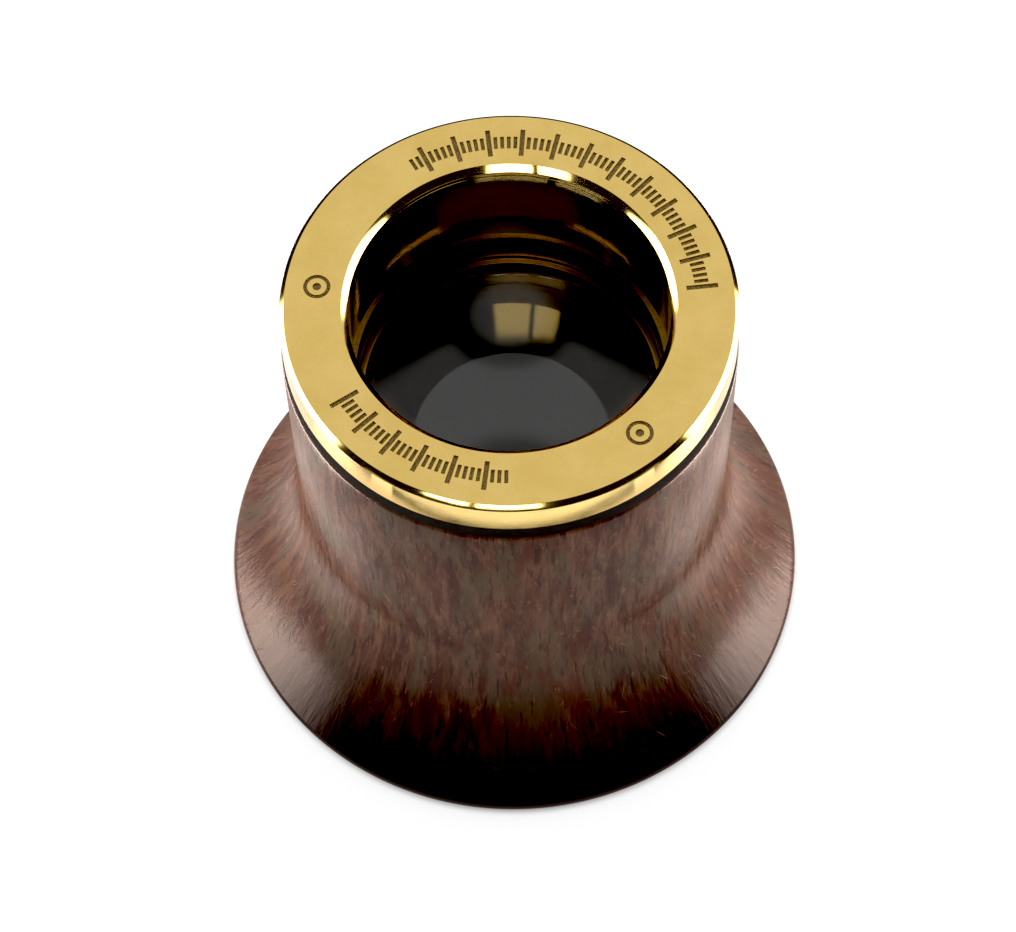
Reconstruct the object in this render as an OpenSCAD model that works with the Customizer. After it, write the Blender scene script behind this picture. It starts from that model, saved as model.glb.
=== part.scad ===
// Watchmaker's eye loupe: a turned wooden eyecup with a screwed-in gilt lens barrel.
// It stands on its eye rim. The origin is the centre of the rim's resting plane and +Z is the optical axis.

/* [Eyecup] */
// Height of the whole loupe
total_h = 34.2; // [33:0.1:36]
// Largest radius of the eye rim
rim_r = 19.85; // [19:0.05:21]
// Radius of the rounded outer edge of the rim
rim_round = 0.6; // [0.4:0.1:0.9]
// Steepest lean of the flare from the axis, in degrees
flare_lean = 44; // [38:1:48]
// Radius of the neck where the flare begins
waist_r = 14.45; // [14.3:0.05:14.6]
// Radius of the neck under the bezel ring
neck_r = 14.6; // [14.5:0.05:14.8]
// Radius of the rounded shoulder at the top of the neck
shoulder_round = 1.0; // [0.6:0.1:1.2]
// Radius of the eye cavity at the rim
cavity_r = 17.6; // [17:0.1:18]
// Height at which the cavity has closed in to the throat
cavity_h = 16; // [14:0.5:18]
// Radius of the throat between the cavity and the bush
throat_r = 11.9; // [11.7:0.1:12.1]
// Width of the broken inner edge of the rim
lip_bevel = 0.6; // [0.3:0.1:0.8]

/* [Bezel ring] */
// Outer radius of the bezel ring
ring_r = 14.5; // [14:0.05:14.8]
// Thickness of the bezel ring
ring_t = 2.7; // [2.4:0.1:3]
// Width of the bevels on the outer edge
ring_bevel = 0.3; // [0.2:0.05:0.5]
// Width of the bevel around the mouth
mouth_bevel_w = 0.4; // [0.3:0.05:0.6]
// Depth of the bevel around the mouth
mouth_bevel_h = 0.4; // [0.2:0.05:0.5]
// Height of the lip that covers the end of the barrel
ring_lip = 0.7; // [0.5:0.1:1]

/* [Barrel] */
// Radius of the smooth bore behind the mouth
bore_r = 10.2; // [10.15:0.01:10.3]
// Outer radius of the barrel, over its outside thread
barrel_r = 11.6; // [11.4:0.05:11.7]
// Outer radius of the barrel below its thread
barrel_waist_r = 11.2; // [11:0.05:11.3]
// Height of the barrel's lower end
barrel_base = 18.7; // [18:0.1:19.2]
// Height of the lower end of the outside thread
thread_base = 26.5; // [26.3:0.1:27]
// Radius of the bore in the inside thread, which holds the retaining ring
inner_thread_r = 10.02; // [9.98:0.01:10.05]
// Depth of the inside thread's upper end below the mouth
inner_thread_depth = 8; // [7.5:0.1:8.5]

/* [Lens] */
// Radius of the lens
lens_r = 9.85; // [9.7:0.05:9.85]
// Height of the middle of the lens's front
lens_top = 24; // [23.8:0.1:24.2]
// Radius of curvature of the lens's front
lens_front_curve = 39; // [36:1:45]
// Radius of curvature of the lens's back
lens_back_curve = 60; // [50:1:80]
// Height of the bedding ring's top, where the lens lies
bedding_top = 21; // [20.8:0.1:21.2]
// Free radius of the barrel's seat behind the lens
seat_r = 9; // [8.8:0.1:9.2]
// Thickness of the bedding ring between the seat and the lens
bedding_t = 0.4; // [0.3:0.1:0.5]
// Height of the retaining ring
retainer_h = 0.9; // [0.7:0.1:1]
// Inner radius of the retaining ring
retainer_bore_r = 9.6; // [9.5:0.05:9.65]
// Width of the retaining ring's spanner notches
notch_w = 1.2; // [0.8:0.1:1.6]
// Depth of the spanner notches
notch_d = 0.5; // [0.3:0.1:0.6]

/* [Neck bush] */
// Outer radius of the bush
bush_r = 12.6; // [12.4:0.1:12.8]
// Length of the bush
bush_h = 5.2; // [5:0.1:6]
// Thickness of the washer under the bezel ring
washer_t = 0.3; // [0.2:0.05:0.4]
// Outer radius of the washer
washer_r = 13.3; // [13:0.1:13.4]
// Running clearance of threads and of the lens, on the radius
clearance = 0.05; // [0.02:0.01:0.08]

/* [Hidden] */
$fn = 96;
// How far a cutting shape runs past the face it cuts
over = 1;
small = 0.01;
// Facets around the lens's large spheres
sphere_facets = 360;

// Heights that follow from the sizes above
ring_base = total_h - ring_t;
neck_top = ring_base - washer_t;
bush_base = neck_top - bush_h;
barrel_top = total_h - ring_lip;
inner_thread_top = total_h - inner_thread_depth;
seat_z = bedding_top - bedding_t;

// Both faces of the lens are spheres; the sag is how far a face falls away from its middle at a radius
function sag(r, curve) = curve - sqrt(curve * curve - r * r);
// The lens lies on the inner edge of the bedding ring, with its back bulging through it
bedding_gap = 0.01;
lens_bottom = bedding_top + bedding_gap - sag(seat_r, lens_back_curve);
retainer_gap = 0.02;
retainer_base = lens_top - sag(retainer_bore_r, lens_front_curve) + retainer_gap;
retainer_top = retainer_base + retainer_h;
retainer_r = inner_thread_r - clearance;
retainer_bevel = 0.22;
// The lens's pocket ends a little below the ring, where the inside thread begins
pocket_gap = 0.1;
pocket_r = lens_r + clearance;
pocket_top = retainer_base - pocket_gap;

// The flare is one arc from the waist, where it is upright, to the rounded edge of the rim
edge_r = rim_r - rim_round + rim_round * cos(flare_lean);
edge_z = rim_round + rim_round * sin(flare_lean);
flare_rad = (edge_r - waist_r) / (1 - cos(flare_lean));
flare_z = edge_z + flare_rad * sin(flare_lean);

// The cavity's wall is one arc from the lip to the throat, where it is upright
cavity_in = cavity_r - throat_r;
cavity_rad = (cavity_in * cavity_in + cavity_h * cavity_h) / (2 * cavity_in);
// Radius of the cavity's wall at a height
function cavity_wall(z) =
    throat_r + cavity_rad - sqrt(cavity_rad * cavity_rad - (cavity_h - z) * (cavity_h - z));

// The lip's bevel runs from the resting plane to the cavity's wall
lip_r = cavity_r + lip_bevel;
lip_end_r = cavity_wall(lip_bevel);
lip_slope = (lip_r - lip_end_r) / lip_bevel;

thread_bevel = 0.15;
seat_bevel = 0.5;

// Half section of the cup's outside, from the axis out
module eyecup_outside() {
    // rim, with its rounded outer edge
    polygon([[0, 0], [rim_r - rim_round, 0], [rim_r - rim_round, rim_round], [edge_r, edge_z], [0, edge_z]]);
    translate([rim_r - rim_round, rim_round]) circle(r = rim_round);
    // concave flare, hollowed out by one circle
    difference() {
        translate([0, edge_z]) square([rim_r, flare_z - edge_z]);
        translate([waist_r + flare_rad, flare_z]) circle(r = flare_rad);
    }
    // neck, with its rounded shoulder
    polygon([[0, flare_z], [waist_r, flare_z], [neck_r, neck_top - shoulder_round],
             [neck_r - shoulder_round, neck_top], [0, neck_top]]);
    translate([neck_r - shoulder_round, neck_top - shoulder_round]) circle(r = shoulder_round);
}

// Half section of everything that is hollowed out of the cup
module eyecup_inside() {
    // eye cavity, left standing inside one circle
    difference() {
        translate([0, -over]) square([rim_r, cavity_h + over]);
        translate([throat_r + cavity_rad, cavity_h]) circle(r = cavity_rad);
    }
    // bevelled inner edge of the rim, which ends on the cavity's wall
    polygon([[0, -over], [lip_r + lip_slope * over, -over],
             [lip_end_r, lip_bevel], [0, lip_bevel]]);
    // throat and the bush's socket
    translate([0, cavity_h - small]) square([throat_r, neck_top]);
    translate([0, bush_base]) square([bush_r, neck_top]);
}

module wooden_eyecup() {
    color([0.30, 0.16, 0.11])
    rotate_extrude()
    difference() {
        eyecup_outside();
        eyecup_inside();
    }
}

module neck_bush() {
    color([0.72, 0.60, 0.34])
    translate([0, 0, bush_base])
    difference() {
        cylinder(r = bush_r, h = bush_h);
        translate([0, 0, -over]) cylinder(r = barrel_r + clearance, h = bush_h + 2 * over);
    }
}

module flange_washer() {
    color([0.13, 0.11, 0.10])
    translate([0, 0, neck_top])
    difference() {
        cylinder(r = washer_r, h = washer_t);
        translate([0, 0, -over]) cylinder(r = barrel_r + 2 * clearance, h = washer_t + 2 * over);
    }
}

module lens_barrel() {
    color([0.80, 0.66, 0.36])
    rotate_extrude()
    polygon([
        [barrel_waist_r - thread_bevel, barrel_base],
        [barrel_waist_r, barrel_base + thread_bevel],
        [barrel_waist_r, thread_base - thread_bevel],
        [barrel_r, thread_base + thread_bevel],
        [barrel_r, barrel_top],
        [bore_r + thread_bevel, barrel_top],
        [bore_r, barrel_top - thread_bevel],
        [bore_r, inner_thread_top],
        [inner_thread_r, inner_thread_top - (bore_r - inner_thread_r)],
        [inner_thread_r, pocket_top],
        [pocket_r, pocket_top],
        [pocket_r, seat_z],
        [seat_r, seat_z],
        [seat_r, barrel_base + seat_bevel],
        [seat_r + seat_bevel, barrel_base],
    ]);
}

module bezel_ring() {
    color([0.83, 0.69, 0.38])
    rotate_extrude()
    polygon([
        [barrel_r, ring_base],
        [ring_r - ring_bevel / 2, ring_base],
        [ring_r, ring_base + ring_bevel / 2],
        [ring_r, total_h - ring_bevel],
        [ring_r - ring_bevel, total_h],
        [bore_r + mouth_bevel_w, total_h],
        [bore_r, total_h - mouth_bevel_h],
        [bore_r, barrel_top],
        [barrel_r, barrel_top],
    ]);
}

module lens_bedding_ring() {
    color([0.08, 0.08, 0.08])
    translate([0, 0, seat_z])
    difference() {
        cylinder(r = pocket_r, h = bedding_t);
        translate([0, 0, -over]) cylinder(r = seat_r, h = bedding_t + 2 * over);
    }
}

module lens() {
    color([0.75, 0.85, 0.88, 0.5])
    intersection() {
        translate([0, 0, lens_bottom - over]) cylinder(r = lens_r, h = lens_top - lens_bottom + 2 * over);
        translate([0, 0, lens_top - lens_front_curve]) sphere(r = lens_front_curve, $fn = sphere_facets);
        translate([0, 0, lens_bottom + lens_back_curve]) sphere(r = lens_back_curve, $fn = sphere_facets);
    }
}

module retaining_ring() {
    color([0.74, 0.58, 0.32])
    difference() {
        rotate_extrude()
        polygon([
            [retainer_bore_r, retainer_base],
            [retainer_r, retainer_base],
            [retainer_r, retainer_top],
            [retainer_bore_r + retainer_bevel, retainer_top],
            [retainer_bore_r, retainer_top - retainer_bevel],
        ]);
        // two spanner notches
        translate([0, 0, retainer_top])
        cube([2 * retainer_r + 2 * over, notch_w, 2 * notch_d], center = true);
    }
}

wooden_eyecup();
neck_bush();
flange_washer();
lens_barrel();
bezel_ring();
lens_bedding_ring();
lens();
retaining_ring();
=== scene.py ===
"""Watchmaker's eye loupe: a turned wooden eyecup with a screwed-in gilt lens barrel.

Lengths in this script are in millimetres until they reach a mesh, which is in metres.
"""
import math

import bmesh
import bpy
from mathutils import Matrix, Vector

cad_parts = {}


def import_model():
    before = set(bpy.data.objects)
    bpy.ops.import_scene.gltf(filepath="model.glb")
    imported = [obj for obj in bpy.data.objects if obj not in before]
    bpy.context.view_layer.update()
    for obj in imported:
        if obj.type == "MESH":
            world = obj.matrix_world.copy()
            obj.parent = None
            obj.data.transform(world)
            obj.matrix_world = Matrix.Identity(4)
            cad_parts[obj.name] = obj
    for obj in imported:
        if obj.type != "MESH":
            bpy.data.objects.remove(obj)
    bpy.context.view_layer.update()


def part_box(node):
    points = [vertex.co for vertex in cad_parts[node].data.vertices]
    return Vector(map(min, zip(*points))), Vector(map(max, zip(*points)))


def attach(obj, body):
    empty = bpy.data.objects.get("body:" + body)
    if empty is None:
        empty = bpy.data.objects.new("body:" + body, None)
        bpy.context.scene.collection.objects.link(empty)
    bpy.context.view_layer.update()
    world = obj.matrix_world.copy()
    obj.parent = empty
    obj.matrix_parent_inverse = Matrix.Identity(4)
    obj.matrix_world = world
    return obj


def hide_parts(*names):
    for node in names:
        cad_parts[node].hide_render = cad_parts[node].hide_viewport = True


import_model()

MM = 0.001
SEGMENTS = 288
SHARP = math.radians(38)


def top(name):
    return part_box(name)[1].z / MM


def base(name):
    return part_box(name)[0].z / MM


def radius(name):
    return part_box(name)[1].x / MM


# Heights and radii that the CAD model's boxes give
TOTAL_H = top("bezel_ring")
RING_BASE = base("bezel_ring")
RING_R = radius("bezel_ring")
NECK_TOP = top("wooden_eyecup")
RIM_R = radius("wooden_eyecup")
BUSH_BASE = base("neck_bush")
BUSH_R = radius("neck_bush")
WASHER_R = radius("flange_washer")
BARREL_BASE = base("lens_barrel")
BARREL_TOP = top("lens_barrel")
BARREL_R = radius("lens_barrel")
LENS_BOTTOM = base("lens")
LENS_TOP = top("lens")
LENS_R = radius("lens")
SEAT_Z = base("lens_bedding_ring")
BEDDING_TOP = top("lens_bedding_ring")
RETAINER_BASE = base("retaining_ring")
RETAINER_TOP = top("retaining_ring")
RETAINER_R = radius("retaining_ring")

# Sizes inside the boxes, as the CAD model has them
RIM_ROUND = 0.6
FLARE_LEAN = math.radians(44)
WAIST_R = 14.45
NECK_R = 14.6
SHOULDER_ROUND = 1.0
CAVITY_R = 17.6
CAVITY_H = 16.0
THROAT_R = 11.9
LIP_BEVEL = 0.6
RING_BEVEL = 0.3
BORE_R = 10.2
MOUTH_BEVEL_W = 0.4
MOUTH_BEVEL_H = 0.4
BARREL_WAIST_R = 11.2
THREAD_BASE = 26.5
INNER_THREAD_R = 10.02
INNER_THREAD_TOP = TOTAL_H - 8.0
POCKET_R = 9.9
POCKET_TOP = RETAINER_BASE - 0.1
SEAT_R = 9.0
LENS_FRONT_CURVE = 39.0
LENS_BACK_CURVE = 60.0
RETAINER_BORE_R = 9.6
CLEARANCE = 0.05
NOTCH_W = 1.2
NOTCH_D = 0.5

# Edge fillets that only the visible pieces have
EDGE_BREAK = 0.05
EDGE_SOFT = 0.1

# Threads: depth from the crest or bore, negative where they cut inwards, and pitch
BUSH_THREAD = (0.34, 0.75)
BARREL_THREAD = (-0.34, 0.75)
INNER_THREAD = (0.025, 0.35)
RETAINER_THREAD = (-0.14, 0.35)

# Engraving on the bezel ring's face: middle radius and depth, then arcs and circles in degrees
ENGRAVE_R = 12.22
ENGRAVE_DEPTH = 0.09
TICK_ARCS = ((5, 119), (212, 268))
TICK_STEP = 2.0
TICKS_PER_LONG = 5
LONG_TICK = (1.0, 0.312)
SHORT_TICK = (0.45, 0.247)
CIRCLE_PLACES = (310, 172)
CIRCLE_INNER_R = 0.62
CIRCLE_OUTER_R = 0.86
DOT_R = 0.27
ENGRAVED_BAND = (10.9, 13.7)
CUT_OVER = 0.2
# Height of the band of painted shade on the wood's shoulder under the bezel ring
SHADED_SHOULDER_H = 0.75
SKIN = 0.005

# Stage, in millimetres and degrees
FAR_FLOOR_HALF = 6000.0
TABLE_R = 30.5
TABLE_FRONT_R = 33.8
TABLE_FRONT_HALF = 60
SIDE_CARD_X = 30.2
SIDE_CARD_H = 9.0
SIDE_CARD_FRONT = -27.0
SIDE_CARD_BACK = 50.0
# name, radius, height and how far it reaches to each side
BLACK_CARDS = (("card_near", 30.5, 1.5, 50.0), ("card_front", 38.0, 12.5, 61.0))

# Camera fitted to the photo
CAMERA_PITCH = math.radians(61.5)
CAMERA_ROLL = math.radians(-1.3)
CAMERA_DISTANCE = 250.2
CAMERA_TARGET = Vector((-0.31, 0.0, 13.07))
FOCAL_LENGTH = 130.68
SENSOR_WIDTH = 36.0


# ---------------------------------------------------------------- turned pieces

# One turn of a thread's form: how far along the pitch, and how deep from 0 to 1
THREAD_FORM = ((0.0, 0.05), (0.05, 0.0), (0.22, 0.0), (0.27, 0.05),
               (0.50, 0.95), (0.55, 1.0), (0.72, 1.0), (0.77, 0.95))


def smooth(x):
    x = min(max(x, 0.0), 1.0)
    return x * x * (3 - 2 * x)


def arc(centre_r, centre_z, rad, start, end, steps):
    """Points of an arc in the half section, with the angles in degrees."""
    out = []
    for i in range(steps + 1):
        a = math.radians(start + (end - start) * i / steps)
        out.append((centre_r + rad * math.cos(a), centre_z + rad * math.sin(a)))
    return out


def fillet(before, corner, after, rad, steps=4):
    """The points that round a corner of the half section."""
    p = Vector(corner)
    a = (Vector(before) - p).normalized()
    b = (Vector(after) - p).normalized()
    angle = a.angle(b)
    if angle > math.radians(176):
        return [tuple(corner)]
    reach = rad / math.tan(angle / 2)
    centre = p + (a + b).normalized() * (rad / math.sin(angle / 2))
    va = p + a * reach - centre
    vb = p + b * reach - centre
    turn = va.angle_signed(vb)
    out = []
    for i in range(steps + 1):
        out.append(tuple(centre + Matrix.Rotation(-turn * i / steps, 2) @ va))
    return out


def section(corners):
    """Half section from corners (r, z, fillet radius, thread); the thread runs to the next corner."""
    items = []
    count = len(corners)
    for i, corner in enumerate(corners):
        r, z = corner[:2]
        rad = corner[2] if len(corner) > 2 else 0
        if rad:
            pts = fillet(corners[i - 1][:2], (r, z), corners[(i + 1) % count][:2], rad)
        else:
            pts = [(r, z)]
        items.extend(("point", p[0], p[1]) for p in pts)
        if len(corner) > 3:
            ahead = corners[(i + 1) % count]
            items.append(("thread", r, pts[-1][1], ahead[1], *corner[3]))
    return items


def column(items, turn):
    """The half section's points at one place round the axis."""
    out = []
    for item in items:
        if item[0] == "point":
            out.append(item[1:])
            continue
        _, r, z_from, z_to, depth, pitch = item
        low, high = min(z_from, z_to), max(z_from, z_to)
        rows = []
        for k in range(-1, math.ceil((high - low) / pitch) + 2):
            for along, height in THREAD_FORM:
                z = min(max(low + (k + along + turn) * pitch, low), high)
                fade = smooth(min(z - low, high - z) / (0.7 * pitch))
                rows.append((r + depth * height * fade, z))
        out.extend(reversed(rows) if z_from > z_to else rows)
    return out


def finish_mesh(bm, name):
    bmesh.ops.remove_doubles(bm, verts=bm.verts, dist=3e-7)
    bmesh.ops.dissolve_degenerate(bm, dist=1e-8, edges=bm.edges)
    bmesh.ops.recalc_face_normals(bm, faces=bm.faces)
    mesh = bpy.data.meshes.new(name)
    bm.to_mesh(mesh)
    bm.free()
    for poly in mesh.polygons:
        poly.use_smooth = True
    mesh.set_sharp_from_angle(angle=SHARP)
    return mesh


def add_object(name, mesh):
    obj = bpy.data.objects.new(name, mesh)
    bpy.context.scene.collection.objects.link(obj)
    return obj


def turned(name, corners, segments=SEGMENTS):
    """A closed solid of revolution, with real helical threads where the section asks for them."""
    items = section(corners)
    bm = bmesh.new()
    columns = []
    for j in range(segments + 1):
        a = 2 * math.pi * j / segments
        c, s = math.cos(a), math.sin(a)
        columns.append([bm.verts.new((r * c * MM, r * s * MM, z * MM))
                        for r, z in column(items, j / segments)])
    for one, two in zip(columns, columns[1:]):
        for i in range(len(one)):
            k = (i + 1) % len(one)
            bm.faces.new((one[i], two[i], two[k], one[k]))
    return add_object(name, finish_mesh(bm, name))


def weigh_normals(obj):
    """Keeps large flat faces flat where small fillets meet them."""
    mod = obj.modifiers.new("normals", "WEIGHTED_NORMAL")
    mod.keep_sharp = True
    mod.weight = 100


def prism(bm, outline, z0, z1):
    """A closed prism over a flat outline."""
    low = [bm.verts.new((x * MM, y * MM, z0 * MM)) for x, y in outline]
    high = [bm.verts.new((x * MM, y * MM, z1 * MM)) for x, y in outline]
    bm.faces.new(list(reversed(low)))
    bm.faces.new(high)
    for i in range(len(outline)):
        k = (i + 1) % len(outline)
        bm.faces.new((low[i], low[k], high[k], high[i]))


def circle(x, y, rad, steps):
    return [(x + rad * math.cos(2 * math.pi * i / steps), y + rad * math.sin(2 * math.pi * i / steps))
            for i in range(steps)]


def tube(bm, x, y, inner, outer, z0, z1, steps):
    """A closed upright tube, for an engraved circle."""
    rings = []
    for rad, z in ((outer, z0), (outer, z1), (inner, z1), (inner, z0)):
        rings.append([bm.verts.new((px * MM, py * MM, z * MM))
                      for px, py in circle(x, y, rad, steps)])
    for n in range(4):
        one, two = rings[n], rings[(n + 1) % 4]
        for i in range(steps):
            k = (i + 1) % steps
            bm.faces.new((one[i], one[k], two[k], two[i]))


def cut(obj, bm, name):
    """Takes the closed solids in bm away from obj."""
    cutter = add_object(name, bpy.data.meshes.new(name))
    bmesh.ops.recalc_face_normals(bm, faces=bm.faces)
    bm.to_mesh(cutter.data)
    bm.free()
    mod = obj.modifiers.new("cut", "BOOLEAN")
    mod.operation = "DIFFERENCE"
    mod.solver = "EXACT"
    mod.object = cutter
    bpy.context.view_layer.update()
    shaped = obj.evaluated_get(bpy.context.evaluated_depsgraph_get())
    mesh = bpy.data.meshes.new_from_object(shaped)
    obj.modifiers.clear()
    bpy.data.objects.remove(cutter)
    work = bmesh.new()
    work.from_mesh(mesh)
    obj.data = finish_mesh(work, obj.name)


# ---------------------------------------------------------------- the pieces

def eyecup_section():
    edge_r = RIM_R - RIM_ROUND + RIM_ROUND * math.cos(FLARE_LEAN)
    edge_z = RIM_ROUND + RIM_ROUND * math.sin(FLARE_LEAN)
    flare = (edge_r - WAIST_R) / (1 - math.cos(FLARE_LEAN))
    flare_z = edge_z + flare * math.sin(FLARE_LEAN)
    lean = math.degrees(FLARE_LEAN)
    cavity_in = CAVITY_R - THROAT_R
    cavity = (cavity_in ** 2 + CAVITY_H ** 2) / (2 * cavity_in)

    def wall(z):
        return THROAT_R + cavity - math.sqrt(cavity ** 2 - (CAVITY_H - z) ** 2)

    pts = [(CAVITY_R + LIP_BEVEL, 0, 0.12)]
    pts += arc(RIM_R - RIM_ROUND, RIM_ROUND, RIM_ROUND, -90, lean, 12)
    pts += arc(WAIST_R + flare, flare_z, flare, 180 + lean, 180, 56)[1:]
    neck_end = NECK_TOP - SHOULDER_ROUND
    pts += [(WAIST_R + (NECK_R - WAIST_R) * i / 12, flare_z + (neck_end - flare_z) * i / 12)
            for i in range(1, 12)]
    pts += arc(NECK_R - SHOULDER_ROUND, neck_end, SHOULDER_ROUND, 0, 90, 10)
    pts += [(BUSH_R, NECK_TOP, 0.06), (BUSH_R, BUSH_BASE), (THROAT_R, BUSH_BASE, 0.1)]
    pts += [(wall(z), z) for z in (CAVITY_H * (1 - i / 40) for i in range(0, 39))]
    pts += [(wall(LIP_BEVEL), LIP_BEVEL, 0.2)]
    return pts


def lens_section():
    """Both faces are arcs from the middle out to a small chamfer at the edge."""
    def sag(r, curve):
        return curve - math.sqrt(curve ** 2 - r * r)

    chamfer, steps = 0.12, 64
    radii = [(LENS_R - chamfer) * i / steps for i in range(steps + 1)]
    back = [(r, LENS_BOTTOM + sag(r, LENS_BACK_CURVE)) for r in radii]
    front = [(r, LENS_TOP - sag(r, LENS_FRONT_CURVE)) for r in reversed(radii)]
    return back + [(LENS_R, back[-1][1] + chamfer), (LENS_R, front[0][1] - chamfer)] + front


eyecup = turned("eyecup_turned_wood", eyecup_section())

bush = turned("neck_bush_threaded", [
    (BARREL_R + CLEARANCE, BUSH_BASE, 0, BUSH_THREAD),
    (BARREL_R + CLEARANCE, NECK_TOP - 0.02),
    (BARREL_R + CLEARANCE + 0.1, NECK_TOP),
    (BUSH_R, NECK_TOP, EDGE_SOFT),
    (BUSH_R, BUSH_BASE, EDGE_SOFT),
])

washer = turned("flange_washer_fibre", [
    (BARREL_R + 2 * CLEARANCE, NECK_TOP, EDGE_BREAK),
    (WASHER_R, NECK_TOP, 0.08),
    (WASHER_R, RING_BASE, 0.08),
    (BARREL_R + 2 * CLEARANCE, RING_BASE, EDGE_BREAK),
])

barrel = turned("lens_barrel_gilt", [
    (BARREL_WAIST_R, BARREL_BASE, 0.15),
    (BARREL_WAIST_R, THREAD_BASE - 0.15, EDGE_SOFT),
    (BARREL_R, THREAD_BASE + 0.15, 0, BARREL_THREAD),
    (BARREL_R, BARREL_TOP - 0.3),
    (BARREL_R, BARREL_TOP, EDGE_SOFT),
    (BORE_R, BARREL_TOP, 0.12),
    (BORE_R, INNER_THREAD_TOP),
    (INNER_THREAD_R, INNER_THREAD_TOP),
    (INNER_THREAD_R, INNER_THREAD_TOP - 0.06, 0, INNER_THREAD),
    (INNER_THREAD_R, POCKET_TOP + 0.05),
    (INNER_THREAD_R, POCKET_TOP),
    (POCKET_R, POCKET_TOP),
    (POCKET_R, SEAT_Z),
    (SEAT_R, SEAT_Z, 0.08),
    (SEAT_R, BARREL_BASE + 0.5, EDGE_SOFT),
    (SEAT_R + 0.5, BARREL_BASE, EDGE_SOFT),
], 360)

ring = turned("bezel_ring_gilt", [
    (BARREL_R, RING_BASE),
    (RING_R - RING_BEVEL / 2, RING_BASE, 0.04),
    (RING_R, RING_BASE + RING_BEVEL / 2, 0.04),
    (RING_R, TOTAL_H - RING_BEVEL, EDGE_BREAK),
    (RING_R - RING_BEVEL, TOTAL_H, EDGE_BREAK),
    (BORE_R + MOUTH_BEVEL_W, TOTAL_H, 0.04),
    (BORE_R, TOTAL_H - MOUTH_BEVEL_H, EDGE_BREAK),
    (BORE_R, BARREL_TOP),
    (BARREL_R, BARREL_TOP),
], 360)

bedding = turned("lens_bedding_rubber", [
    (SEAT_R, SEAT_Z, 0.12),
    (POCKET_R, SEAT_Z, 0.12),
    (POCKET_R, BEDDING_TOP, 0.12),
    (SEAT_R, BEDDING_TOP, 0.12),
])

lens = turned("lens_glass", lens_section(), 256)

retainer = turned("retaining_ring_brass", [
    (RETAINER_BORE_R, RETAINER_BASE, 0.04),
    (RETAINER_R, RETAINER_BASE, 0.04),
    (RETAINER_R, RETAINER_BASE + 0.06, 0, RETAINER_THREAD),
    (RETAINER_R, RETAINER_TOP - 0.06),
    (RETAINER_R, RETAINER_TOP, 0.02),
    (RETAINER_BORE_R, RETAINER_TOP, 0.012),
], 360)

# Two spanner notches across the retaining ring
notches = bmesh.new()
reach = RETAINER_R + 0.5
for x0, x1 in ((-reach, -RETAINER_BORE_R + 0.5), (RETAINER_BORE_R - 0.5, reach)):
    half = NOTCH_W / 2
    prism(notches, [(x0, -half), (x1, -half), (x1, half), (x0, half)],
          RETAINER_TOP - NOTCH_D, RETAINER_TOP + 0.5)
cut(retainer, notches, "notch_cutter")


def engraving():
    """Two graduated arcs and two small dotted circles, cut shallowly into the bezel's flat face."""
    bm = bmesh.new()
    z0, z1 = TOTAL_H - ENGRAVE_DEPTH, TOTAL_H + CUT_OVER

    def tick(azimuth, half_length, width):
        c, s = math.cos(azimuth), math.sin(azimuth)
        r0, r1, w = ENGRAVE_R - half_length, ENGRAVE_R + half_length, width / 2
        prism(bm, [(r0 * c + w * s, r0 * s - w * c), (r1 * c + w * s, r1 * s - w * c),
                   (r1 * c - w * s, r1 * s + w * c), (r0 * c - w * s, r0 * s + w * c)], z0, z1)

    for start, end in TICK_ARCS:
        count = round((end - start) / TICK_STEP)
        for i in range(count + 1):
            azimuth = math.radians(start + (end - start) * i / count)
            tick(azimuth, *(LONG_TICK if i % TICKS_PER_LONG == 0 else SHORT_TICK))
    for azimuth in CIRCLE_PLACES:
        a = math.radians(azimuth)
        x, y = ENGRAVE_R * math.cos(a), ENGRAVE_R * math.sin(a)
        tube(bm, x, y, CIRCLE_INNER_R, CIRCLE_OUTER_R, z0, z1, 40)
        prism(bm, circle(x, y, DOT_R, 24), z0, z1)
    return bm


cut(ring, engraving(), "engraving_cutter")


# ---------------------------------------------------------------- materials

def socket(tree, target, value):
    if isinstance(value, bpy.types.NodeSocket):
        tree.links.new(value, target)
    else:
        target.default_value = value


def add(tree, kind, props=None, **inputs):
    made = tree.nodes.new(kind)
    for key, value in (props or {}).items():
        setattr(made, key, value)
    for key, value in inputs.items():
        socket(tree, made.inputs[key.replace("_", " ")], value)
    return made


def calc(tree, operation, a, b=0.0):
    made = tree.nodes.new("ShaderNodeMath")
    made.operation = operation
    for i, value in enumerate((a, b)):
        socket(tree, made.inputs[i], value)
    return made.outputs[0]


def times(tree, first, *others):
    for other in others:
        first = calc(tree, "MULTIPLY", first, other)
    return first


def plus(tree, first, *others):
    for other in others:
        first = calc(tree, "ADD", first, other)
    return first


def remap(tree, value, low, high, to_low=0.0, to_high=1.0):
    """A smooth step from to_low to to_high."""
    made = add(tree, "ShaderNodeMapRange", {"interpolation_type": "SMOOTHSTEP"},
               Value=value, From_Min=low, From_Max=high, To_Min=to_low, To_Max=to_high)
    return made.outputs[0]


def blend_colour(tree, factor, a, b):
    made = tree.nodes.new("ShaderNodeMix")
    made.data_type = "RGBA"
    socket(tree, made.inputs["Factor"], factor)
    colours = [s for s in made.inputs if s.type == "RGBA"]
    socket(tree, colours[0], a)
    socket(tree, colours[1], b)
    return [s for s in made.outputs if s.type == "RGBA"][0]


def noise(tree, vector, scale, detail=4.0, roughness=0.55, distortion=0.0):
    return add(tree, "ShaderNodeTexNoise", Vector=vector, Scale=scale, Detail=detail,
               Roughness=roughness, Distortion=distortion).outputs["Fac"]


def vector(tree, x, y, z):
    return add(tree, "ShaderNodeCombineXYZ", X=x, Y=y, Z=z).outputs[0]


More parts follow.
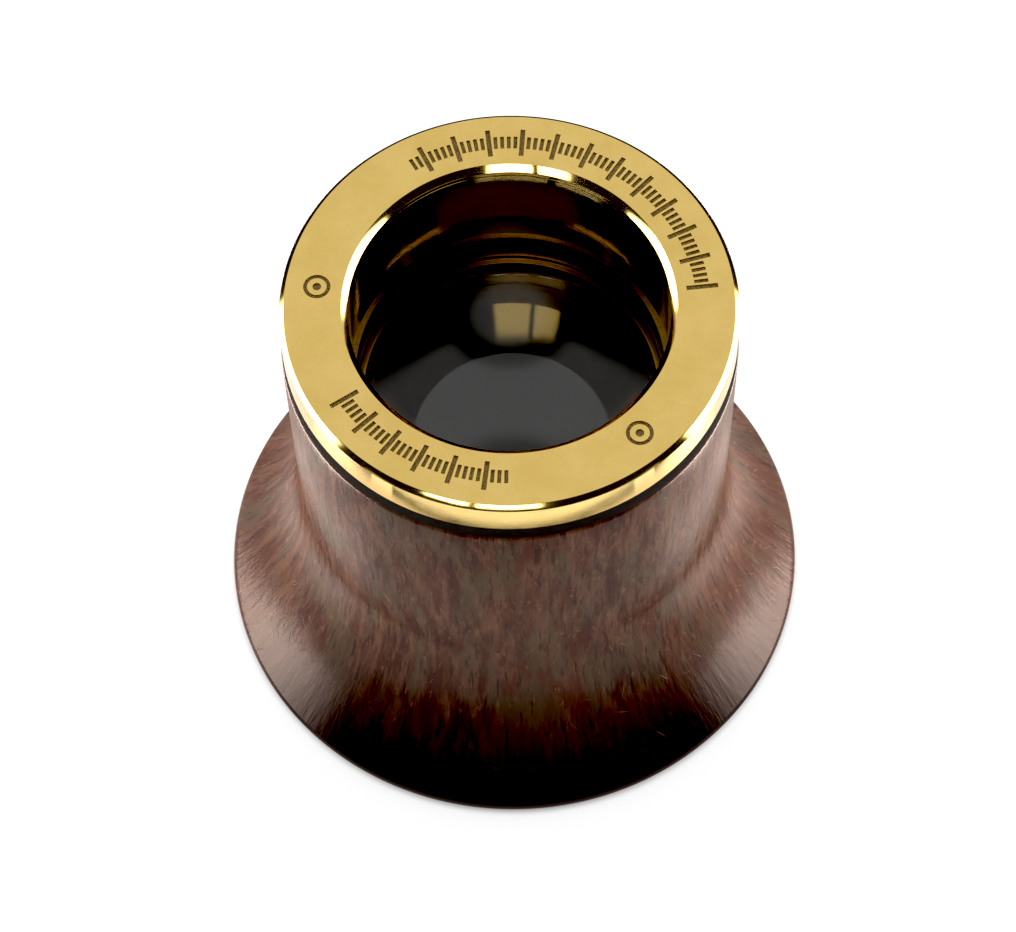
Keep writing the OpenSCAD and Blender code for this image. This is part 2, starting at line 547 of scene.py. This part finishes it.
def place_mm(tree):
    """The object's own coordinates in millimetres, as a vector."""
    coords = tree.nodes.new("ShaderNodeTexCoord").outputs["Object"]
    scaled = tree.nodes.new("ShaderNodeVectorMath")
    scaled.operation = "SCALE"
    tree.links.new(coords, scaled.inputs[0])
    scaled.inputs["Scale"].default_value = 1 / MM
    return scaled.outputs[0]


def axes_mm(tree, place):
    """The three coordinates, and the distance from the optical axis."""
    x, y, z = add(tree, "ShaderNodeSeparateXYZ", Vector=place).outputs
    return x, y, z, calc(tree, "SQRT", plus(tree, times(tree, x, x), times(tree, y, y)))


def rgb(r, g, b):
    return (r, g, b, 1.0)


def material(name):
    mat = bpy.data.materials.new(name)
    mat.use_nodes = True
    tree = mat.node_tree
    shader = next(n for n in tree.nodes if n.type == "BSDF_PRINCIPLED")
    return mat, tree, shader


def bump(tree, height, distance):
    return add(tree, "ShaderNodeBump", Height=height, Distance=distance, Strength=1.0).outputs[0]


def wood_material():
    mat, tree, shader = material("lacquered_wood")
    x, y, z, r = axes_mm(tree, place_mm(tree))
    # Coordinates that follow the turned surface, so that the grain runs from the rim to the neck
    unrolled = 15.0
    u = times(tree, calc(tree, "DIVIDE", x, r), unrolled)
    v = times(tree, calc(tree, "DIVIDE", y, r), unrolled)
    broad = noise(tree, vector(tree, u, v, times(tree, z, 0.4)), 0.22, 3.0, 0.5)
    patches = noise(tree, vector(tree, v, u, times(tree, z, 0.3)), 0.5, 3.0, 0.55)
    mottle = noise(tree, vector(tree, u, v, times(tree, z, 0.22)), 1.15, 5.0, 0.66, 0.3)
    pores = noise(tree, vector(tree, u, v, times(tree, z, 0.13)), 3.4, 4.0, 0.62)
    flecks = noise(tree, vector(tree, v, u, times(tree, z, 0.35)), 2.6, 3.0, 0.62)

    tone = rgb(0.052, 0.011, 0.006)
    for layer, low, high, weight, colour in (
            (broad, 0.36, 0.66, 1.0, rgb(0.100, 0.028, 0.013)),
            (mottle, 0.40, 0.66, 0.68, rgb(0.185, 0.086, 0.050)),
            (patches, 0.48, 0.62, 0.6, rgb(0.092, 0.064, 0.037)),
            (flecks, 0.60, 0.70, 0.5, rgb(0.26, 0.13, 0.065)),
            (pores, 0.46, 0.34, 0.7, rgb(0.014, 0.004, 0.003)),
    ):
        tone = blend_colour(tree, remap(tree, layer, low, high, 0.0, weight), tone, colour)

    # Fine hairline scratches in the lacquer, in three directions
    angle = times(tree, calc(tree, "ARCTAN2", y, x), unrolled)
    lines = 0.0
    for turn, offset in ((0.55, 3.0), (-0.35, 17.0), (1.15, 41.0)):
        c, s = math.cos(turn), math.sin(turn)
        across = plus(tree, times(tree, angle, c), times(tree, z, s))
        down = calc(tree, "SUBTRACT", times(tree, z, c), times(tree, angle, s))
        stretched = vector(tree, times(tree, across, 5.0), times(tree, down, 0.33), offset)
        line = remap(tree, noise(tree, stretched, 1.3, 1.0, 0.4), 0.75, 0.80)
        lines = calc(tree, "MAXIMUM", lines, line)
    tone = blend_colour(tree, times(tree, lines, 0.3), tone, rgb(0.36, 0.26, 0.19))

    # The wood darkens towards the rim, most of all in front, where the extra darkness is painted shade
    rim_darkening_front_shade = times(tree, remap(tree, z, 1.0, 10.5, 0.97, 0.0), remap(tree, y, -12.5, -4.0, 1.0, 0.45))
    tone = blend_colour(tree, rim_darkening_front_shade, tone, rgb(0.010, 0.0025, 0.0015))

    socket(tree, shader.inputs["Base Color"], tone)
    socket(tree, shader.inputs["Roughness"], remap(tree, pores, 0.3, 0.6, 0.62, 0.46))
    shader.inputs["Specular IOR Level"].default_value = 0.0
    shader.inputs["Coat Weight"].default_value = 0.4
    shader.inputs["Coat Roughness"].default_value = 0.18
    shader.inputs["Coat IOR"].default_value = 1.5
    height = plus(tree, times(tree, pores, 0.4), times(tree, mottle, 0.9))
    height = calc(tree, "SUBTRACT", height, times(tree, lines, 0.2))
    normal = bump(tree, height, 0.00005)
    socket(tree, shader.inputs["Normal"], normal)
    socket(tree, shader.inputs["Coat Normal"], normal)
    return mat


def gilt_material():
    mat, tree, shader = material("polished_gilt")
    place = place_mm(tree)
    cloud = noise(tree, place, 0.35, 4.0, 0.6)
    grain = noise(tree, place, 9.0, 3.0, 0.6)
    tone = blend_colour(tree, remap(tree, cloud, 0.3, 0.7), rgb(0.76, 0.53, 0.165), rgb(0.83, 0.60, 0.205))
    tone = blend_colour(tree, remap(tree, grain, 0.3, 0.7, 0.0, 0.25), tone, rgb(0.70, 0.48, 0.15))
    socket(tree, shader.inputs["Base Color"], tone)
    shader.inputs["Metallic"].default_value = 1.0
    socket(tree, shader.inputs["Roughness"], remap(tree, cloud, 0.3, 0.7, 0.055, 0.10))
    socket(tree, shader.inputs["Normal"], bump(tree, grain, 0.0000006))
    return mat


def engraved_material():
    mat, tree, shader = material("engraved_gilt")
    grain = noise(tree, place_mm(tree), 14.0, 3.0, 0.7)
    tone = blend_colour(tree, remap(tree, grain, 0.35, 0.65), rgb(0.16, 0.105, 0.04), rgb(0.44, 0.31, 0.13))
    socket(tree, shader.inputs["Base Color"], tone)
    shader.inputs["Metallic"].default_value = 1.0
    shader.inputs["Roughness"].default_value = 0.55
    socket(tree, shader.inputs["Normal"], bump(tree, grain, 0.00003))
    return mat


def brass_material():
    mat, tree, shader = material("turned_brass")
    place = place_mm(tree)
    _, _, z, r = axes_mm(tree, place)
    turning = noise(tree, vector(tree, times(tree, r, 12.0), times(tree, z, 12.0), 0.0), 1.0, 3.0, 0.6)
    cloud = noise(tree, place, 0.5, 3.0, 0.6)
    tone = blend_colour(tree, remap(tree, cloud, 0.3, 0.7), rgb(0.27, 0.16, 0.05), rgb(0.37, 0.24, 0.09))
    tone = blend_colour(tree, remap(tree, turning, 0.35, 0.65, 0.0, 0.35), tone, rgb(0.20, 0.12, 0.04))
    socket(tree, shader.inputs["Base Color"], tone)
    shader.inputs["Metallic"].default_value = 1.0
    socket(tree, shader.inputs["Roughness"], remap(tree, turning, 0.3, 0.7, 0.18, 0.30))
    socket(tree, shader.inputs["Normal"], bump(tree, turning, 0.000002))
    return mat


def dulled_and_shaded_material():
    """The barrel's inside thread and its ledge, rougher and darker gilt: dulled so that they don't glare
    round the lens, and darkened as painted shade down in the bore.
    """
    mat, tree, shader = material("dulled_gilt_painted_shade")
    grain = noise(tree, place_mm(tree), 6.0, 3.0, 0.6)
    # Darker gilt tones here are painted shade in the bore's recess
    tone = blend_colour(tree, remap(tree, grain, 0.35, 0.65),
                        rgb(0.17, 0.112, 0.046), rgb(0.25, 0.17, 0.072))
    socket(tree, shader.inputs["Base Color"], tone)
    shader.inputs["Metallic"].default_value = 1.0
    shader.inputs["Roughness"].default_value = 0.3
    socket(tree, shader.inputs["Normal"], bump(tree, grain, 0.000002))
    return mat


def matte_material(name, dark, light, rough, distance):
    mat, tree, shader = material(name)
    fibres = noise(tree, place_mm(tree), 5.0, 5.0, 0.65)
    tone = blend_colour(tree, remap(tree, fibres, 0.35, 0.65), dark, light)
    socket(tree, shader.inputs["Base Color"], tone)
    socket(tree, shader.inputs["Roughness"], remap(tree, fibres, 0.3, 0.7, rough - 0.08, rough + 0.08))
    socket(tree, shader.inputs["Normal"], bump(tree, fibres, distance))
    return mat


def glass_material():
    mat, tree, shader = material("optical_glass")
    dust = noise(tree, place_mm(tree), 2.4, 6.0, 0.75)
    shader.inputs["Base Color"].default_value = rgb(1.0, 1.0, 1.0)
    socket(tree, shader.inputs["Roughness"], remap(tree, dust, 0.74, 0.80, 0.0, 0.35))
    shader.inputs["IOR"].default_value = 1.52
    shader.inputs["Transmission Weight"].default_value = 1.0
    return mat


wood = wood_material()
gilt = gilt_material()
engraved = engraved_material()
dulled_and_shaded = dulled_and_shaded_material()
brass = brass_material()
# Near-black matte for the wood's shoulder under the bezel ring: painted shade from the ring
shoulder_shade = matte_material("shoulder_painted_shade", rgb(0.006, 0.003, 0.002), rgb(0.014, 0.007, 0.004),
                         0.75, 0.00001)
fibre = matte_material("black_fibre", rgb(0.012, 0.010, 0.009), rgb(0.03, 0.025, 0.022), 0.7, 0.00001)
rubber = matte_material("black_rubber", rgb(0.012, 0.012, 0.012), rgb(0.025, 0.025, 0.025),
                        0.75, 0.000008)
glass = glass_material()

# piece, body, CAD node, slot, material
PIECES = (
    (eyecup, "eyecup", "wooden_eyecup", "lacquered_wood", wood),
    (bush, "eyecup", "neck_bush", "brass", brass),
    (washer, "washer", "flange_washer", "black_fibre", fibre),
    (barrel, "barrel", "lens_barrel", "gilt_brass", gilt),
    (ring, "barrel", "bezel_ring", "gilt_brass", gilt),
    (bedding, "barrel", "lens_bedding_ring", "black_rubber", rubber),
    (lens, "lens", "lens", "glass", glass),
    (retainer, "retainer", "retaining_ring", "brass", brass),
)
for piece, body, node_name, slot_name, mat in PIECES:
    piece.data.materials.clear()
    piece.data.materials.append(mat)
    weigh_normals(piece)
    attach(piece, body)
    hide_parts(node_name)


def second_finish(piece, mat, chosen):
    """Gives the faces whose middle is in the chosen place another material."""
    piece.data.materials.append(mat)
    for poly in piece.data.polygons:
        c = poly.center / MM
        poly.material_index = 1 if chosen(math.hypot(c.x, c.y), c.z) else 0


# The wood's shoulder under the bezel ring is near black, painted shade from the ring; the inside thread and
# its ledge are darker, duller gilt with painted shade, and the engraving is matte
second_finish(eyecup, shoulder_shade, lambda r, z: z > NECK_TOP - SHADED_SHOULDER_H and r > BUSH_R + 0.1)
second_finish(barrel, dulled_and_shaded, lambda r, z: (r < BORE_R - SKIN
                                            and POCKET_TOP - 0.01 < z < INNER_THREAD_TOP + 0.01))
second_finish(ring, engraved, lambda r, z: (ENGRAVED_BAND[0] < r < ENGRAVED_BAND[1]
                                            and TOTAL_H - CUT_OVER < z < TOTAL_H - SKIN))


# ---------------------------------------------------------------- floor, light and camera

def choose(tree, switch, yes, no):
    """One value where the switch is 1 and another where it is 0."""
    return plus(tree, times(tree, switch, yes), times(tree, calc(tree, "SUBTRACT", 1.0, switch), no))


def floor_material():
    """Grey, with a glow that's pale to the camera and has bright and dark parts for reflections."""
    mat, tree, shader = material("pale_floor")
    shader.inputs["Roughness"].default_value = 0.85
    shader.inputs["Specular IOR Level"].default_value = 0.1
    x, y, _, r = axes_mm(tree, place_mm(tree))
    # Painted shade: under the eyecup, where it shows through the lens, the floor is darker and warmer
    socket(tree, shader.inputs["Base Color"],
           blend_colour(tree, remap(tree, r, 18.3, 19.0), rgb(0.17, 0.163, 0.132), rgb(0.25, 0.25, 0.249)))
    seen = times(tree, remap(tree, r, 19.2, 20.2), 0.76)
    # Reflections see it fade towards the front, up to the black card and a strip behind that,
    # and brighten towards the side cards and close beside the eyecup
    front = remap(tree, y, -30.5, -26.0, 0.2, 0.92)
    strip = times(tree, remap(tree, r, 30.4, 30.8), remap(tree, r, 33.6, 32.6, -0.4, 1.3))
    far_side = calc(tree, "ABSOLUTE", plus(tree, x, 1.0))
    beside = times(tree, remap(tree, far_side, 25.0, 33.0, 0.0, 2.5),
                   remap(tree, y, -22.0, -8.0), remap(tree, y, 6.0, -2.0))
    near_side = calc(tree, "ABSOLUTE", x)
    close = times(tree, remap(tree, near_side, 14.5, 18.0, 0.0, 1.5), remap(tree, near_side, 24.8, 21.5),
                  remap(tree, y, -14.0, -7.0), remap(tree, y, 10.0, 5.0))
    mirrored = plus(tree, beside, close, calc(tree, "MAXIMUM", front, strip))
    mirrored = times(tree, remap(tree, r, 18.3, 19.0), mirrored)
    glossy = tree.nodes.new("ShaderNodeLightPath").outputs["Is Glossy Ray"]
    warm = times(tree, glossy, remap(tree, r, 30.6, 29.6))
    socket(tree, shader.inputs["Emission Color"],
           blend_colour(tree, warm, rgb(1.0, 1.0, 1.0), rgb(1.0, 0.83, 0.73)))
    socket(tree, shader.inputs["Emission Strength"], choose(tree, glossy, mirrored, seen))
    mat.cycles.emission_sampling = "NONE"
    return mat


def stage_object(name, rows, mat):
    """A backdrop piece from one list of faces, each a list of points in millimetres."""
    bm = bmesh.new()
    for row in rows:
        bm.faces.new([bm.verts.new([c * MM for c in point]) for point in row])
    mesh = bpy.data.meshes.new(name)
    bm.to_mesh(mesh)
    bm.free()
    mesh.materials.append(mat)
    obj = add_object(name, mesh)
    return obj


def only_in_reflections(obj):
    for ray in ("camera", "diffuse", "transmission", "shadow", "volume_scatter"):
        setattr(obj, "visible_" + ray, False)


def floor():
    """The table round the loupe, and the room's floor beyond it, which reflections don't see."""
    mat = floor_material()
    corners = ((-1, -1), (1, -1), (1, 1), (-1, 1))
    far = stage_object("floor_far", [[(i * FAR_FLOOR_HALF, j * FAR_FLOOR_HALF, -0.02)
                                      for i, j in corners]], mat)
    far.visible_glossy = False
    edge = []
    steps = 240
    for i in range(steps):
        a = 2 * math.pi * i / steps
        from_front = abs((math.degrees(a) + 270) % 360 - 180)
        r = TABLE_FRONT_R if from_front < TABLE_FRONT_HALF else TABLE_R
        edge.append((r * math.cos(a), r * math.sin(a), 0.0))
    stage_object("floor_table", [edge], mat)


def black_cards():
    """Two black cards round the front, which keep the front of the flare dark."""
    mat, tree, shader = material("black_card")
    shader.inputs["Base Color"].default_value = rgb(0.004, 0.004, 0.004)
    shader.inputs["Roughness"].default_value = 1.0
    shader.inputs["Specular IOR Level"].default_value = 0.0
    steps = 48
    for name, r, high, reach in BLACK_CARDS:
        rows = []
        for i in range(steps):
            pair = [math.radians(-90 + reach * (2 * k / steps - 1)) for k in (i, i + 1)]
            rows.append([(r * math.cos(a), r * math.sin(a), z)
                         for a, z in ((pair[0], 0.0), (pair[1], 0.0), (pair[1], high), (pair[0], high))])
        only_in_reflections(stage_object(name, rows, mat))


def side_cards():
    """Bright cards that stand beside the loupe and fade towards the camera."""
    mat, tree, shader = material("white_card")
    _, y, _, _ = axes_mm(tree, place_mm(tree))
    shader.inputs["Base Color"].default_value = rgb(0.0, 0.0, 0.0)
    shader.inputs["Specular IOR Level"].default_value = 0.0
    shader.inputs["Emission Color"].default_value = rgb(1.0, 0.80, 0.70)
    socket(tree, shader.inputs["Emission Strength"], remap(tree, y, -25.0, -7.0, 0.0, 18.0))
    mat.cycles.emission_sampling = "NONE"
    for name, x in (("card_left", -SIDE_CARD_X), ("card_right", SIDE_CARD_X)):
        rows = [[(x, SIDE_CARD_FRONT, 0.0), (x, SIDE_CARD_BACK, 0.0),
                 (x, SIDE_CARD_BACK, SIDE_CARD_H), (x, SIDE_CARD_FRONT, SIDE_CARD_H)]]
        only_in_reflections(stage_object(name, rows, mat))


def world():
    """A white tent with dark gaps in front, as a function of direction."""
    made = bpy.data.worlds.new("tent")
    bpy.context.scene.world = made
    made.use_nodes = True
    tree = made.node_tree
    tree.nodes.clear()
    direction = tree.nodes.new("ShaderNodeTexCoord").outputs["Generated"]
    x, y, z = add(tree, "ShaderNodeSeparateXYZ", Vector=direction).outputs
    degrees = 180 / math.pi
    elevation = times(tree, calc(tree, "ARCSINE", z), degrees)
    # From 0 in front, positive to the left, to 180 at the back
    side = times(tree, calc(tree, "ARCTAN2", times(tree, x, -1.0), times(tree, y, -1.0)), degrees)
    turn = calc(tree, "ABSOLUTE", side)

    def band(value, low, high, soft):
        return times(tree, remap(tree, value, low - soft, low + soft),
                     remap(tree, value, high + soft, high - soft))

    panels = times(tree, band(turn, 73.0, 123.0, 2.5), band(elevation, -12.0, 21.0, 3.0), 6.5)
    back = times(tree, remap(tree, turn, 112.0, 126.0), band(elevation, -1.0, 72.0, 3.0), 0.85)
    bar = calc(tree, "SUBTRACT", 1.0, band(side, 14.8, 18.2, 0.7))
    front = times(tree, band(side, -10.5, 35.5, 2.0), band(elevation, 26.0, 48.0, 1.5), bar, 6.0)
    # For the flat gold face from low behind and from overhead. In the photo's view low also edges
    # the bevels, and above shows in the lens as a round grey patch
    low = times(tree, band(turn, 24.0, 57.0, 3.0), band(elevation, 0.0, 17.0, 1.5))
    above = times(tree, remap(tree, elevation, 76.0, 82.0), 0.85)
    tent = plus(tree, panels, back, front, low, above, 0.03)
    path = tree.nodes.new("ShaderNodeLightPath")

    # Reflections see the tent, matte surfaces a plain soft light, and the camera a pale room
    soft = remap(tree, turn, 50.0, 105.0, 0.03, 3.6)
    soft = choose(tree, remap(tree, elevation, 50.0, 75.0), 0.25, soft)
    strength = choose(tree, path.outputs["Is Diffuse Ray"], soft, tent)
    strength = choose(tree, path.outputs["Is Camera Ray"], 0.95, strength)
    made.cycles.sampling_method = "NONE"
    shader = add(tree, "ShaderNodeBackground", Color=rgb(1.0, 1.0, 1.0), Strength=strength)
    out = tree.nodes.new("ShaderNodeOutputWorld")
    tree.links.new(shader.outputs[0], out.inputs["Surface"])


def camera():
    ahead = Vector((0.0, math.cos(CAMERA_PITCH), -math.sin(CAMERA_PITCH)))
    right = Vector((1.0, 0.0, 0.0))
    up = Vector((0.0, math.sin(CAMERA_PITCH), math.cos(CAMERA_PITCH)))
    turned_right = right * math.cos(CAMERA_ROLL) + up * math.sin(CAMERA_ROLL)
    turned_up = up * math.cos(CAMERA_ROLL) - right * math.sin(CAMERA_ROLL)
    data = bpy.data.cameras.new("camera")
    data.sensor_fit = "HORIZONTAL"
    data.sensor_width = SENSOR_WIDTH
    data.lens = FOCAL_LENGTH
    data.clip_start = 0.005
    data.clip_end = 50.0
    obj = bpy.data.objects.new("camera", data)
    bpy.context.scene.collection.objects.link(obj)
    place = Matrix((turned_right, turned_up, -ahead)).transposed().to_4x4()
    place.translation = (CAMERA_TARGET - ahead * CAMERA_DISTANCE) * MM
    obj.matrix_world = place
    bpy.context.scene.camera = obj


def colour_management():
    """Plain sRGB with deep blacks, as in a product photograph."""
    settings = bpy.context.scene.view_settings
    settings.view_transform = "Standard"
    settings.look = "None"
    settings.use_curve_mapping = True
    settings.curve_mapping.black_level = (0.018, 0.018, 0.018)
    settings.curve_mapping.update()


floor()
black_cards()
side_cards()
world()
camera()

colour_management()
